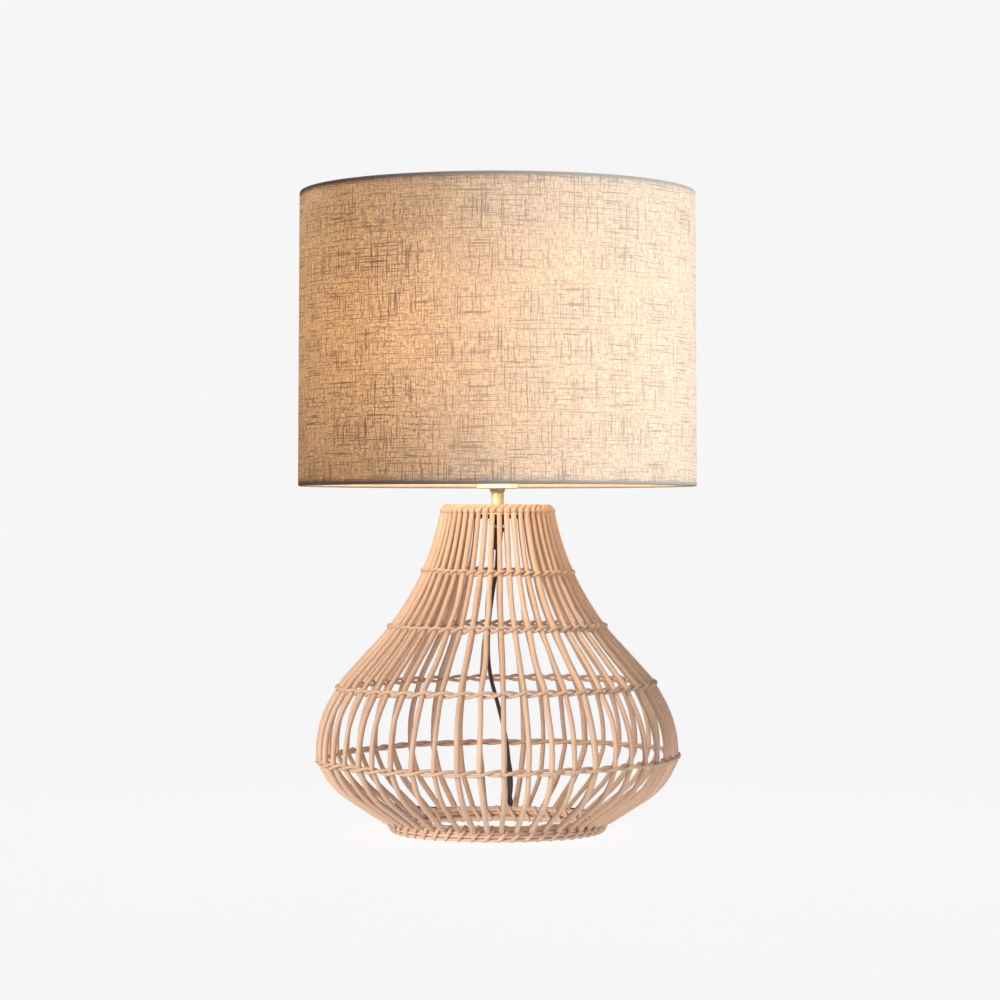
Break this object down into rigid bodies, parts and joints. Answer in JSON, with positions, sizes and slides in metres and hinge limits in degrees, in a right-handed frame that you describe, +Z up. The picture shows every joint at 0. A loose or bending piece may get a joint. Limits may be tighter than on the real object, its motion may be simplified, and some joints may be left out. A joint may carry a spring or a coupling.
{
  "type": "table lamp",
  "caption": "Table lamp with an open rattan cage base, a linen drum shade on a switched screw lampholder, and a braided mains cord coiled behind it.",
  "frame": {"origin": "on the table, under the middle of the foot hoop", "axes": "+Z up along the stem; -Y is the front; the cord leaves the cage at the back, +Y"},
  "size_m": [0.3589, 0.3857, 0.575],
  "materials": {
    "rattan_cane": "natural matt rattan cane with faint grain",
    "rattan_twine": "thin twisted rattan strands, matt",
    "blackened_steel": "matt black powder coat",
    "zinc_steel": "zinc plated",
    "satin_nickel": "satin nickel plating",
    "cream_bakelite": "moulded cream thermoset, satin",
    "brown_plastic": "dark brown moulded PVC",
    "porcelain": "glazed porcelain",
    "brass_contacts": "plain brass",
    "shade_linen": "slubby linen-look cloth",
    "shade_liner_film": "translucent laminated shade film",
    "white_wire": "white lacquered wire",
    "bulb_nickel_cap": "nickel plated screw cap",
    "bulb_solder": "solder tip",
    "black_glass": "black glass insulator",
    "opal_glass": "opal frosted glass, warm when lit",
    "led_filament": "phosphor coated LED rods on a glass post",
    "cord_braid": "dark brown braided textile over flat twin cord",
    "pin_nickel": "nickel plated brass",
    "tie_strap": "hook-and-loop strap"
  },
  "bodies": {
    "base": {"coil_tie": "tie_strap", "cord_coil": "cord_braid", "cord_relief": "brown_plastic", "cord_run": "cord_braid", "cord_tail": "cord_braid", "foot_lashing": "rattan_twine", "foot_lower_hoop": "rattan_cane", "foot_upper_hoop": "rattan_cane", "holder_cap": "cream_bakelite", "holder_contact": "brass_contacts", "holder_flange": "cream_bakelite", "holder_insert": "porcelain", "holder_shell": "cream_bakelite", "holder_thread": "brass_contacts", "inner_lead": "cord_braid", "neck_border": "rattan_cane", "neck_hoop": "blackened_steel", "neck_plate": "blackened_steel", "plug_body": "brown_plastic", "plug_boot": "brown_plastic", "plug_pins": "pin_nickel", "ribs_01": "rattan_cane", "ribs_02": "rattan_cane", "ribs_03": "rattan_cane", "ribs_04": "rattan_cane", "ribs_05": "rattan_cane", "ribs_06": "rattan_cane", "ribs_07": "rattan_cane", "stem_collar": "satin_nickel", "stem_nut": "blackened_steel", "stem_pipe": "zinc_steel", "stem_sleeve": "satin_nickel", "stem_washer": "blackened_steel", "switch_block": "porcelain", "woven_band_1": "rattan_twine", "woven_band_2": "rattan_twine", "woven_band_3": "rattan_twine", "woven_band_4": "rattan_twine"},
    "shade": {"shade_arms": "white_wire", "shade_fabric": "shade_linen", "shade_hem_bottom": "shade_linen", "shade_hem_top": "shade_linen", "shade_hub": "white_wire", "shade_liner": "shade_liner_film", "shade_wire_bottom": "white_wire", "shade_wire_top": "white_wire"},
    "clamp_ring": {"clamp_ring": "cream_bakelite"},
    "push_bar": {"push_bar": "brown_plastic"},
    "bulb_tip": {"bulb_contact": "bulb_solder"},
    "bulb": {"bulb_cap": "bulb_nickel_cap", "bulb_glass": "opal_glass", "bulb_insulator": "black_glass", "bulb_filaments": "led_filament"}
  },
  "joints": [
    {"name": "shade_turn", "type": "hinge", "parent": "base", "child": "shade", "pos_m": [0, 0, 0.3402], "axis": [0, 0, 1], "continuous": true},
    {"name": "clamp_ring_rise", "type": "slide", "parent": "base", "child": "clamp_ring", "axis": [0, 0, 1], "range_m": [0, 0.018]},
    {"name": "switch_push", "type": "slide", "parent": "base", "child": "push_bar", "axis": [-1, 0, 0], "range_m": [0, 0.0064]},
    {"name": "bulb_rise", "type": "slide", "parent": "base", "child": "bulb_tip", "axis": [0, 0, 1], "range_m": [0, 0.0128]},
    {"name": "bulb_turn", "type": "hinge", "parent": "bulb_tip", "child": "bulb", "pos_m": [0, 0, 0.36], "axis": [0, 0, 1], "range_deg": [0, 1260]}
  ],
  "couplings": [
    {"joint": "bulb_rise", "follows": "bulb_turn", "m_per_rad": 0.00057757}
  ]
}
